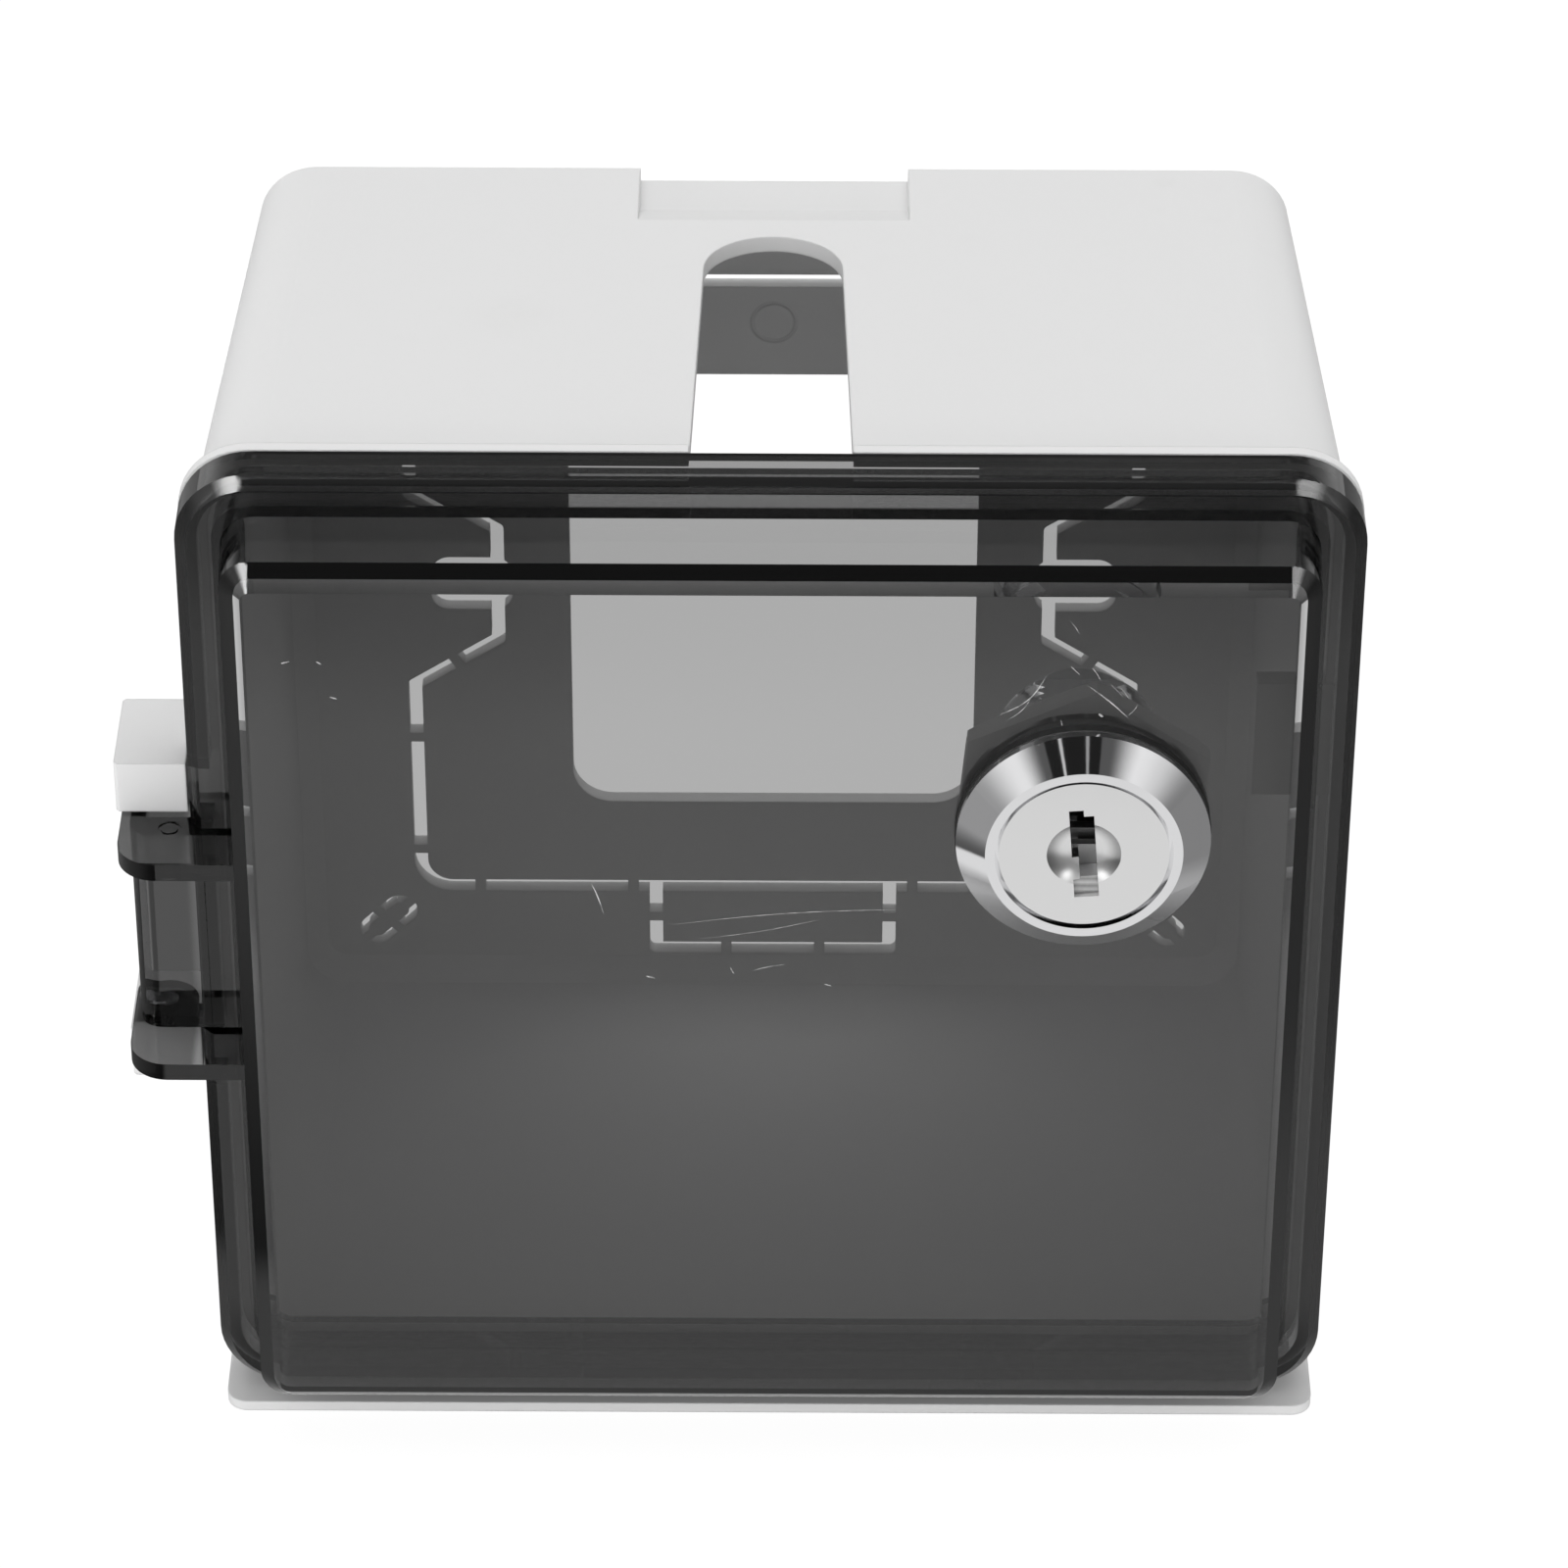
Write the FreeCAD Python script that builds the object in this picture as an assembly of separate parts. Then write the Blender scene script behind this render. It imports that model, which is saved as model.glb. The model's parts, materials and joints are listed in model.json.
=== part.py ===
"""Lockable cover box for a wall outlet, in millimetres.

The box stands on its sill: +Z is up, the lid faces -Y and the wall is at +Y.
The origin is the middle of the underside of the sill.
"""
import math
import os

import FreeCAD
import Part

V = FreeCAD.Vector
X_AXIS = V(1, 0, 0)
Y_AXIS = V(0, 1, 0)
Z_AXIS = V(0, 0, 1)

# General clearances
parting_gap = 0.3
running_clearance = 0.05
overlap = 0.5

# Sill under the lid
sill_width = 129.0
sill_thickness = 1.35
sill_overhang = 2.0
sill_corner_radius = 2.5
sill_gap = 0.5
sill_rib_thickness = 1.6
sill_rib_spacing = 27.0
sill_rib_pairs = 2

# Flange that runs round the lid
flange_width = 130.0
flange_height = 127.2
flange_corner_radius = 8.4
flange_bevel = 1.3
flange_plate = 2.5
skirt_depth = 6.1
skirt_wall = 2.4

# Raised window of the lid
window_inset = 5.0
window_taper = 0.5
window_raise = 0.5
window_side_depth = 8.4
window_bevel = 2.45
window_corner_radius = 4.0
window_wall = 2.2
window_root_wall = 2.0
window_plate = 2.3

# Rib of the lid that drops into the mouth of the base
rib_inset = 4.0
rib_wall = 1.9
rib_depth = 7.2

# Body of the base
box_depth = 78.0
body_wall = 2.0
body_front_inset = 1.3
body_front_radius = 8.0
body_back_width = 121.8
body_back_height = 117.9
body_back_radius = 7.0
body_back_bevel = 0.8
base_flange_thickness = 1.5
base_flange_radius = 8.0
inner_bevel = 2.5

# Cable slot in the top wall
slot_front_width = 18.0
slot_back_width = 16.0
slot_length = 53.3

# Shallow notch in the top wall at the wall edge
notch_width = 31.6
notch_length = 14.0
notch_depth = 2.1
notch_floor = 1.2
notch_pad_margin = 2.0

# Back wall: large opening and the slits of the knock-outs
pattern_raise = 0.4
back_opening_width = 50.0
back_opening_height = 62.0
back_opening_radius = 5.0
slit_width = 1.7
bridge_width = 1.3
plate_width = 88.8
plate_height = 88.0
plate_corner_radius = 4.0
waist_width = 67.8
waist_inner_height = 13.1
waist_outer_height = 26.9
entry_width = 29.6
entry_height = 9.6
oval_spread_x = 97.6
oval_spread_z = 98.8
oval_length = 8.6
oval_width = 4.4
oval_slit = 1.1
wall_slot_spacing = 74.1
wall_slot_length = 10.0
wall_slot_width = 4.6

# Round marks that the mould leaves
mark_depth = 0.15
mark_width = 0.35
back_mark_radius = 2.8
back_mark_height = 104.1
tab_mark_radius = 1.3
tab_mark_inset = 2.3

# Hinge
hinge_raise = 2.7
hinge_span = 30.0
hinge_reach = 4.3
hinge_depth = 7.0
tab_thickness = 2.2
tab_end_radius = 3.6
tab_front_depth = 7.1
tab_corner_radius = 4.5
web_thickness = 3.6
web_end_thickness = 1.7
web_step = 0.9
web_corner_radius = 2.5
block_height = 6.5
block_reach = 8.5
block_front_depth = 2.8
block_length = 13.0
block_edge_bevel = 0.4
block_side_gap = 0.4
pin_radius = 1.25
pin_seat_depth = 4.9
pin_stand_out = 0.3
pin_end_bevel = 0.2

# Keeper tab that the cam catches
keeper_width = 7.6
keeper_height = 15.0
keeper_thickness = 2.4
keeper_setback = 6.1
keeper_above_lock = 1.3

# Lock: place on the window and front parts
lock_side_distance = 30.6
lock_top_distance = 38.0
lock_rubber_thickness = 1.2
lock_rubber_radius = 14.1
bezel_radius = 14.0
bezel_rim = 1.0
bezel_cone = 2.7
bezel_flat_radius = 10.85
face_recess_radius = 9.8
face_recess_depth = 1.8

# Lock: barrel, thread and nut
barrel_length = 20.0
thread_radius = 9.4
thread_depth = 0.5
thread_pitch = 1.2
thread_plain = 2.2
barrel_flats = 16.0
barrel_hole_clearance = 0.15
nut_across_flats = 26.8
nut_thickness = 2.7
nut_collar_radius = 12.0
nut_collar_length = 2.8
nut_turn = -5.0
nut_edge_bevel = 0.9

# Lock: plug and key slot
plug_radius = 6.3
plug_head_clearance = 0.45
plug_face_setback = 0.25
dish_radius = 4.1
dish_depth = 1.1
key_slot_width = 2.7
key_slot_top = 5.85
key_slot_bottom = -3.45
key_slot_lean = 4.5
key_slot_depth = 17.3
key_corner_width = 1.1
key_corner_height = 0.8
key_foot_bottom = -5.65
key_foot_depth = 0.8
ward_reach = 0.75
ward_top = -0.95
tail_width = 7.0
tail_corner_radius = 4.6
tail_short = 0.2

# Lock: wafers and their springs
wafer_count = 8
wafer_pitch = 1.7
wafer_first = -1.5
wafer_thickness = 1.0
wafer_width = 5.2
wafer_length = 11.2
wafer_slot_clearance = 0.05
wafer_window_width = 3.4
wafer_window_height = 4.6
wafer_code = (1.5, 2.5, 1.5, 1.9, 1.1, 2.3, 1.5, 1.9)
wafer_ear_width = 1.1
wafer_ear_height = 1.2
wafer_ear_base = 0.5
wafer_channel_reach = 7.2
spring_x = 3.3
spring_pocket_radius = 0.65
spring_pocket_floor = -3.2
spring_pocket_top = 3.4
spring_coil_radius = 0.42
spring_wire_radius = 0.1
spring_turns = 6

# Lock: stop washer, cam and what holds the cam
stop_radius = 7.6
stop_thickness = 1.0
stop_tab_depth = 1.0
stop_tab_inner = 6.6
stop_tab_angle = 20.0
stop_start_angle = -45.0
quarter_turn = 90.0
stop_play_angle = 1.0
square_clearance = 0.05
cam_thickness = 2.0
cam_length = 24.0
cam_width = 12.0
cam_hub_radius = 7.4
cam_corner_radius = 1.5
washer_hole_clearance = 0.15
washer_outer_radius = 4.6
washer_thickness = 1.2
washer_split = 0.8
screw_radius = 2.05
screw_reach = 5.5
screw_head_radius = 4.6
screw_head_height = 2.6
screw_head_edge = 0.9
cross_length = 4.4
cross_width = 1.0
cross_depth = 1.4

# Places that follow from the sizes above
flange_bottom = sill_thickness + sill_gap
box_centre = flange_bottom + flange_height / 2
sill_depth = box_depth + sill_overhang
lid_plane = sill_overhang - sill_depth / 2
wall_plane = sill_depth / 2
base_front = lid_plane + skirt_depth + parting_gap
back_inner = wall_plane - body_wall
window_centre = box_centre + window_raise
window_edge = lid_plane - window_side_depth
window_face = window_edge - window_bevel
window_width = flange_width - 2 * window_inset
window_height = flange_height - 2 * window_inset
body_front_width = flange_width - 2 * body_front_inset
body_front_height = flange_height - 2 * body_front_inset
pattern_centre = box_centre + pattern_raise
hinge_x = -flange_width / 2 - hinge_reach
hinge_y = lid_plane + hinge_depth
hinge_centre = box_centre + hinge_raise
hinge_top = hinge_centre + hinge_span / 2
hinge_bottom = hinge_centre - hinge_span / 2
lock_x = flange_width / 2 - lock_side_distance
lock_z = box_centre + flange_height / 2 - lock_top_distance
keeper_centre = lock_z + keeper_above_lock
housing_seat = -lock_rubber_thickness
bezel_front = housing_seat - bezel_rim - bezel_cone
plug_face = bezel_front + plug_face_setback
plug_head_back = bezel_front + face_recess_depth - running_clearance
barrel_end = housing_seat + barrel_length
plug_end = barrel_end + running_clearance
stop_front = plug_end + running_clearance
cam_front = stop_front + stop_thickness
cam_back = cam_front + cam_thickness
washer_back = cam_back + washer_thickness
tail_end = cam_back - tail_short
bore_radius = plug_radius + running_clearance
thread_hole_radius = screw_radius + running_clearance
washer_inner_radius = screw_radius + washer_hole_clearance


def block(x0, x1, y0, y1, z0, z1):
    """A box between two corners."""
    return Part.makeBox(x1 - x0, y1 - y0, z1 - z0, V(x0, y0, z0))


def rod(radius, start, end, x=0.0, z=0.0):
    """A round bar along Y."""
    return Part.makeCylinder(radius, end - start, V(x, start, z), Y_AXIS)


def post(radius, bottom, top, x, y):
    """A round bar along Z."""
    return Part.makeCylinder(radius, top - bottom, V(x, y, bottom), Z_AXIS)


def outline(width, height, radius, y, centre_z, centre_x=0.0):
    """A closed rectangle with round corners, standing in the plane of one Y."""
    w = width / 2
    h = height / 2
    k = radius * (1 - math.sqrt(0.5))

    def at(x, z):
        return V(centre_x + x, y, centre_z + z)

    edges = [
        Part.makeLine(at(-w + radius, h), at(w - radius, h)),
        Part.Arc(at(w - radius, h), at(w - k, h - k), at(w, h - radius)).toShape(),
        Part.makeLine(at(w, h - radius), at(w, -h + radius)),
        Part.Arc(at(w, -h + radius), at(w - k, -h + k), at(w - radius, -h)).toShape(),
        Part.makeLine(at(w - radius, -h), at(-w + radius, -h)),
        Part.Arc(at(-w + radius, -h), at(-w + k, -h + k), at(-w, -h + radius)).toShape(),
        Part.makeLine(at(-w, -h + radius), at(-w, h - radius)),
        Part.Arc(at(-w, h - radius), at(-w + k, h - k), at(-w + radius, h)).toShape(),
    ]
    return Part.Wire(edges)


def prism(wire, depth):
    """A solid from a closed wire, pushed along +Y."""
    return Part.Face(wire).extrude(V(0, depth, 0))


def slab(width, height, radius, y0, y1, centre_z):
    """A plate with round corners between two Y planes."""
    return prism(outline(width, height, radius, y0, centre_z), y1 - y0)


def taper(first, second):
    """A solid with straight sides between two outlines."""
    return Part.makeLoft([first, second], True, True)


def plan(points, bottom, top):
    """An upright solid from plan points; a triple of points is an arc."""
    edges = []
    last = None
    for item in points:
        if len(item) == 3:
            start, middle, end = [V(p[0], p[1], bottom) for p in item]
            if last is not None and last.distanceToPoint(start) > 1e-6:
                edges.append(Part.makeLine(last, start))
            edges.append(Part.Arc(start, middle, end).toShape())
            last = end
        else:
            point = V(item[0], item[1], bottom)
            if last is not None:
                edges.append(Part.makeLine(last, point))
            last = point
    first = edges[0].Vertexes[0].Point
    if last.distanceToPoint(first) > 1e-6:
        edges.append(Part.makeLine(last, first))
    return Part.Face(Part.Wire(edges)).extrude(V(0, 0, top - bottom))


def quarter(cx, cy, radius, start):
    """Three plan points of a quarter circle that runs clockwise from an angle in degrees."""
    angles = [math.radians(start - step) for step in (0, 45, 90)]
    return [(cx + radius * math.cos(a), cy + radius * math.sin(a)) for a in angles]


def oblong(length, width, y0, y1, x, z, turn=0.0):
    """A bar along Y with a stadium section, turned about its own axis."""
    half = (length - width) / 2
    shape = block(-half, half, y0, y1, -width / 2, width / 2)
    shape = shape.fuse([rod(width / 2, y0, y1, -half), rod(width / 2, y0, y1, half)]).removeSplitter()
    shape.rotate(V(0, 0, 0), Y_AXIS, turn)
    shape.translate(V(x, 0, z))
    return shape


def one_solid(shape):
    """The single solid of a boolean result."""
    shape = shape.removeSplitter()
    solids = shape.Solids
    if len(solids) != 1:
        raise ValueError("expected one solid, found %d" % len(solids))
    return solids[0]


def ring_mark(radius, centre, axis):
    """A thin round groove sunk along an axis."""
    outer = Part.makeCylinder(radius, mark_depth + overlap, centre, axis)
    inner = Part.makeCylinder(radius - mark_width, mark_depth + overlap, centre, axis)
    return outer.cut(inner)


def bar_path(points, y0, y1, width):
    """Straight slits joined end to end in the XZ plane."""
    shapes = []
    for (xa, za), (xb, zb) in zip(points, points[1:]):
        length = math.hypot(xb - xa, zb - za)
        bar = block(0, length, y0, y1, -width / 2, width / 2)
        bar.rotate(V(0, 0, 0), Y_AXIS, -math.degrees(math.atan2(zb - za, xb - xa)))
        bar.translate(V(xa, 0, za))
        shapes.append(bar)
        shapes.append(rod(width / 2, y0, y1, xa, za))
    return shapes


def mirrored(shape, x_side, z_side, centre_z):
    """A copy of a shape on another side of the back wall."""
    copy = shape.copy()
    if x_side < 0:
        copy = copy.mirror(V(0, 0, 0), X_AXIS)
    if z_side < 0:
        copy = copy.mirror(V(0, 0, centre_z), Z_AXIS)
    return copy


def back_wall_cuts():
    """The opening, the slits and the screw slots of the back wall."""
    y0 = back_inner - overlap
    y1 = wall_plane + overlap
    zc = pattern_centre
    half_w = plate_width / 2
    half_h = plate_height / 2
    opening = slab(back_opening_width, back_opening_height, back_opening_radius, y0, y1, zc)

    corner = plate_corner_radius
    side = [
        (waist_width / 2, zc),
        (waist_width / 2, zc + waist_inner_height / 2),
        (half_w, zc + waist_outer_height / 2),
        (half_w, zc + half_h - corner),
    ]
    quarter_slits = bar_path(side, y0, y1, slit_width)
    bend_outer = rod(corner + slit_width / 2, y0, y1, half_w - corner, zc + half_h - corner)
    bend_inner = rod(corner - slit_width / 2, y0, y1, half_w - corner, zc + half_h - corner)
    bend_part = block(half_w - corner, half_w + slit_width, y0, y1, zc + half_h - corner, zc + half_h + slit_width)
    quarter_slits.append(bend_outer.cut(bend_inner).common(bend_part))
    quarter_slits += bar_path([(half_w - corner, zc + half_h), (0, zc + half_h)], y0, y1, slit_width)
    entry = [
        (entry_width / 2, zc + half_h),
        (entry_width / 2, zc + half_h + entry_height),
        (0, zc + half_h + entry_height),
    ]
    quarter_slits += bar_path(entry, y0, y1, slit_width)
    slits = quarter_slits[0].fuse(quarter_slits[1:])

    def bridge(x, z, turn=0.0):
        bar = block(-bridge_width / 2, bridge_width / 2, y0, y1, -slit_width, slit_width)
        bar.rotate(V(0, 0, 0), Y_AXIS, turn)
        bar.translate(V(x, 0, z))
        return bar

    diagonal_x = (waist_width / 2 + half_w) / 2
    diagonal_z = zc + (waist_inner_height + waist_outer_height) / 4
    diagonal_turn = math.degrees(math.atan2(half_w - waist_width / 2, (waist_outer_height - waist_inner_height) / 2))
    upright = half_h - corner - waist_outer_height / 2
    bridges = [
        bridge(diagonal_x, diagonal_z, 90 + diagonal_turn),
        bridge(half_w, zc + waist_outer_height / 2 + upright * 0.3, 90),
        bridge(half_w, zc + half_h - corner - 1.2 * bridge_width, 90),
        bridge(half_w - corner - 2.6 * bridge_width, zc + half_h),
        bridge(entry_width / 2 + 2.2 * bridge_width, zc + half_h),
        bridge(entry_width / 2, zc + half_h + entry_height / 2, 90),
        bridge(entry_width / 5, zc + half_h + entry_height),
    ]
    slits = slits.cut(bridges)

    ring = oblong(oval_length, oval_width, y0, y1, 0, 0)
    core = oblong(oval_length - 2 * oval_slit, oval_width - 2 * oval_slit, y0, y1, 0, 0)
    cross = [
        block(-bridge_width / 2, bridge_width / 2, y0, y1, -oval_width, oval_width),
        block(-oval_length, oval_length, y0, y1, -bridge_width / 2, bridge_width / 2),
    ]
    ring = ring.cut(core).cut(cross)
    ring.rotate(V(0, 0, 0), Y_AXIS, -45)
    ring.translate(V(oval_spread_x / 2, 0, zc + oval_spread_z / 2))

    screw_slot = oblong(wall_slot_length, wall_slot_width, y0, y1, wall_slot_spacing / 2, zc)
    cuts = [opening, screw_slot, mirrored(screw_slot, -1, 1, zc)]
    for x_side in (1, -1):
        for z_side in (1, -1):
            cuts.append(mirrored(slits, x_side, z_side, zc))
            cuts.append(mirrored(ring, x_side, z_side, zc))
    return cuts


def body_at(y, inset=0.0):
    """Width, height and corner radius of the tapered body at one depth."""
    share = (y - base_front) / (wall_plane - base_front)
    width = body_front_width + share * (body_back_width - body_front_width)
    height = body_front_height + share * (body_back_height - body_front_height)
    radius = body_front_radius + share * (body_back_radius - body_front_radius)
    return width - 2 * inset, height - 2 * inset, radius - inset


def body_outline(y, inset=0.0):
    """Outline of the tapered body at one depth."""
    width, height, radius = body_at(y, inset)
    return outline(width, height, radius, y, box_centre)


def base_outside():
    """The tapered body with its front flange, still solid."""
    bevel_start = wall_plane - body_back_bevel
    shell = taper(body_outline(base_front), body_outline(bevel_start))
    back_width, back_height, back_radius = body_at(wall_plane, body_back_bevel)
    back_edge = outline(back_width, back_height, back_radius, wall_plane, box_centre)
    shell = shell.fuse(taper(body_outline(bevel_start), back_edge))
    flange = slab(flange_width, flange_height, base_flange_radius, base_front, base_front + base_flange_thickness, box_centre)
    return shell.fuse(flange)


def base_cavity():
    """The inside of the body, with a sloping edge along the back wall."""
    bend = back_inner - inner_bevel
    main_part = taper(body_outline(base_front - overlap, body_wall), body_outline(bend, body_wall))
    return main_part.fuse(taper(body_outline(bend, body_wall), body_outline(back_inner, body_wall + inner_bevel)))


def sill_with_ribs():
    """The flat sill and the ribs that carry the body on it."""
    corner = sill_corner_radius
    half = sill_width / 2
    front = -sill_depth / 2
    points = [
        (-half, wall_plane),
        (half, wall_plane),
        quarter(half - corner, front + corner, corner, 0),
        quarter(-half + corner, front + corner, corner, -90),
    ]
    plate = plan(points, 0, sill_thickness)
    rib_start = base_front
    rib_top = box_centre - body_back_height / 2 + body_wall / 2
    ribs = []
    for step in range(-sill_rib_pairs, sill_rib_pairs + 1):
        x = step * sill_rib_spacing
        rib = block(x - sill_rib_thickness / 2, x + sill_rib_thickness / 2, rib_start, wall_plane, 0, rib_top)
        ribs.append(rib)
    half_front = flange_width / 2 - base_flange_radius
    ribs.append(block(-half_front, half_front, base_front, base_front + base_flange_thickness, 0, flange_bottom + overlap))
    return plate.fuse(ribs)


def hinge_block(bottom):
    """One solid block beside the flange that holds a hinge pin."""
    left = -flange_width / 2 - block_reach
    front = lid_plane + block_front_depth
    back = front + block_length
    right_outer = -flange_width / 2 - block_side_gap
    right_inner = -body_front_width / 2 + body_wall / 2
    bevel = block_edge_bevel
    points = [
        (left, back - bevel),
        (left + bevel, back),
        (right_inner, back),
        (right_inner, base_front),
        (right_outer, base_front),
        (right_outer, front),
        (left + bevel, front),
        (left, front + bevel),
        (left, back - bevel),
    ]
    return plan(points, bottom, bottom + block_height)


def make_base_shell():
    """The white moulded base."""
    shell = base_outside().fuse(sill_with_ribs()).cut(base_cavity())
    cavity_height = body_at(wall_plane, body_wall)[1]
    notch_start = wall_plane - notch_length
    top_at_wall = box_centre + body_back_height / 2
    pad_half = notch_width / 2 + notch_pad_margin
    pad_bottom = top_at_wall - notch_depth - notch_floor
    pad = block(-pad_half, pad_half, notch_start, wall_plane - body_wall / 2, pad_bottom, top_at_wall - body_wall / 2)
    shell = shell.fuse(pad)

    start_top = box_centre + body_at(notch_start)[1] / 2
    ramp = Part.makePolygon([
        V(-notch_width / 2, notch_start, start_top),
        V(-notch_width / 2, wall_plane - notch_length / 2, top_at_wall - notch_depth),
        V(-notch_width / 2, wall_plane + overlap, top_at_wall - notch_depth),
        V(-notch_width / 2, wall_plane + overlap, start_top + overlap),
        V(-notch_width / 2, notch_start, start_top + overlap),
        V(-notch_width / 2, notch_start, start_top),
    ])
    notch = Part.Face(ramp).extrude(V(notch_width, 0, 0))

    slot_end = base_front + slot_length
    end_radius = slot_back_width / 2
    round_centre = slot_end - end_radius
    slot_bottom = box_centre + cavity_height / 2 - 3 * body_wall
    slot_top = box_centre + flange_height / 2 + overlap
    slot_start = base_front - overlap
    slot_points = [
        (-slot_front_width / 2, slot_start),
        (-slot_back_width / 2, round_centre),
        [(-end_radius, round_centre), (0, slot_end), (end_radius, round_centre)],
        (slot_front_width / 2, slot_start),
    ]
    slot = plan(slot_points, slot_bottom, slot_top)

    keeper_left = body_front_width / 2 - body_wall - keeper_width
    keeper = block(
        keeper_left,
        body_front_width / 2 - body_wall / 2,
        lid_plane + keeper_setback,
        lid_plane + keeper_setback + keeper_thickness,
        keeper_centre - keeper_height / 2,
        keeper_centre + keeper_height / 2,
    )
    upper = hinge_block(hinge_top + parting_gap)
    lower = hinge_block(hinge_bottom - parting_gap - block_height)
    shell = shell.cut([slot, notch] + back_wall_cuts())
    shell = shell.fuse([keeper, upper, lower])
    seats = [
        post(pin_radius, hinge_top - tab_thickness, hinge_top + parting_gap + pin_seat_depth, hinge_x, hinge_y),
        post(pin_radius, hinge_bottom - parting_gap - pin_seat_depth, hinge_bottom + tab_thickness, hinge_x, hinge_y),
    ]
    mark = ring_mark(back_mark_radius, V(0, back_inner + mark_depth, back_mark_height), V(0, -1, 0))
    return one_solid(shell.cut(seats + [mark]))


def window_outline(extra_inset, y):
    """Outline of the lid's window, moved in by a distance."""
    radius = max(window_corner_radius - extra_inset, 1.0)
    return outline(window_width - 2 * extra_inset, window_height - 2 * extra_inset, radius, y, window_centre)


def hinge_tab(bottom):
    """One flat tab of the lid with its round end about the hinge pin."""
    left = hinge_x - tab_end_radius
    front = lid_plane - tab_front_depth
    corner = tab_corner_radius
    right_back = hinge_x + tab_end_radius
    root = -flange_width / 2 + skirt_wall / 2
    inner = -window_width / 2 + window_root_wall / 2
    points = [
        (inner, front),
        quarter(left + corner, front + corner, corner, -90),
        (left, hinge_y),
        [(left, hinge_y), (hinge_x, hinge_y + tab_end_radius), (right_back, hinge_y)],
        (right_back, lid_plane + skirt_depth),
        (root, lid_plane + skirt_depth),
        (root, lid_plane + flange_plate / 2),
        (inner, lid_plane + flange_plate / 2),
        (inner, front),
    ]
    return plan(points, bottom, bottom + tab_thickness)


def hinge_web():
    """The upright web that joins the two tabs."""
    left = hinge_x - tab_end_radius + web_step
    right = -flange_width / 2 + flange_plate / 2
    corner = web_corner_radius
    points = [
        (right, lid_plane),
        quarter(left + corner, lid_plane + corner, corner, -90),
        (left, hinge_y),
        (left + web_end_thickness, hinge_y),
        (left + web_end_thickness, lid_plane + web_thickness),
        (right, lid_plane + web_thickness),
        (right, lid_plane),
    ]
    return plan(points, hinge_bottom + overlap, hinge_top - overlap)


def barrel_section(clearance, y0, y1):
    """Round bar with two flats, as the lock barrel and its hole have."""
    half_flat = barrel_flats / 2 + clearance
    radius = thread_radius + clearance
    return rod(radius, y0, y1).common(block(-radius, radius, y0, y1, -half_flat, half_flat))


def make_lid_cover():
    """The smoked lid: flange, skirt, window, rib, hinge tabs and web."""
    inset = flange_bevel
    front = outline(flange_width - 2 * inset, flange_height - 2 * inset, flange_corner_radius - inset, lid_plane, box_centre)
    bevel_line = outline(flange_width, flange_height, flange_corner_radius, lid_plane + inset, box_centre)
    lid = taper(front, bevel_line)
    skirt_back = lid_plane + skirt_depth
    lid = lid.fuse(slab(flange_width, flange_height, flange_corner_radius, lid_plane + inset, skirt_back, box_centre))
    channel = slab(
        flange_width - 2 * skirt_wall,
        flange_height - 2 * skirt_wall,
        flange_corner_radius - skirt_wall,
        lid_plane + flange_plate,
        skirt_back + overlap,
        box_centre,
    )
    lid = lid.cut(channel)

    rib_start = lid_plane + flange_plate - overlap
    rib_outer = slab(
        flange_width - 2 * rib_inset,
        flange_height - 2 * rib_inset,
        flange_corner_radius - rib_inset,
        rib_start,
        lid_plane + rib_depth,
        box_centre,
    )
    inner_inset = rib_inset + rib_wall
    rib_inner = slab(
        flange_width - 2 * inner_inset,
        flange_height - 2 * inner_inset,
        flange_corner_radius - inner_inset,
        rib_start - overlap,
        lid_plane + rib_depth + overlap,
        box_centre,
    )
    lid = lid.fuse(rib_outer.cut(rib_inner))

    root = window_outline(0.0, lid_plane + flange_plate / 2)
    shoulder = window_outline(window_taper, window_edge)
    face = window_outline(window_taper + window_bevel, window_face)
    lid = lid.fuse([taper(root, shoulder), taper(shoulder, face)])
    hollow_end = window_face + window_plate
    hollow = taper(
        window_outline(window_root_wall, lid_plane + flange_plate + overlap),
        window_outline(window_taper + window_wall, hollow_end),
    )
    lid = lid.cut(hollow)

    tabs = [hinge_tab(hinge_top - tab_thickness), hinge_tab(hinge_bottom), hinge_web()]
    lid = lid.fuse(tabs)

    relief_right = -flange_width / 2 + skirt_wall + overlap
    relief_left = -flange_width / 2 - overlap
    relief_front = lid_plane + flange_plate
    relief_back = skirt_back + overlap
    margin = block_height + 2 * parting_gap
    reliefs = [
        block(relief_left, relief_right, relief_front, relief_back, hinge_top, hinge_top + margin),
        block(relief_left, relief_right, relief_front, relief_back, hinge_bottom - margin, hinge_bottom),
    ]
    keeper_room = keeper_height / 2 + 2 * parting_gap
    rib_left = flange_width / 2 - inner_inset - overlap
    reliefs.append(block(
        rib_left,
        rib_left + rib_wall + 2 * overlap,
        lid_plane + keeper_setback - 2 * parting_gap,
        lid_plane + rib_depth + overlap,
        keeper_centre - keeper_room,
        keeper_centre + keeper_room,
    ))
    lock_hole = barrel_section(barrel_hole_clearance, window_face - overlap, hollow_end + overlap)
    lock_hole.translate(V(lock_x, 0, lock_z))
    bearing = pin_radius + running_clearance
    pin_holes = [
        post(bearing, hinge_top - tab_thickness - overlap, hinge_top + overlap, hinge_x, hinge_y),
        post(bearing, hinge_bottom - overlap, hinge_bottom + tab_thickness + overlap, hinge_x, hinge_y),
    ]
    mark_x = -flange_width / 2 - tab_mark_inset
    mark = ring_mark(tab_mark_radius, V(mark_x, lid_plane, hinge_top - mark_depth), Z_AXIS)
    return one_solid(lid.cut(reliefs + [lock_hole, mark] + pin_holes))


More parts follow.
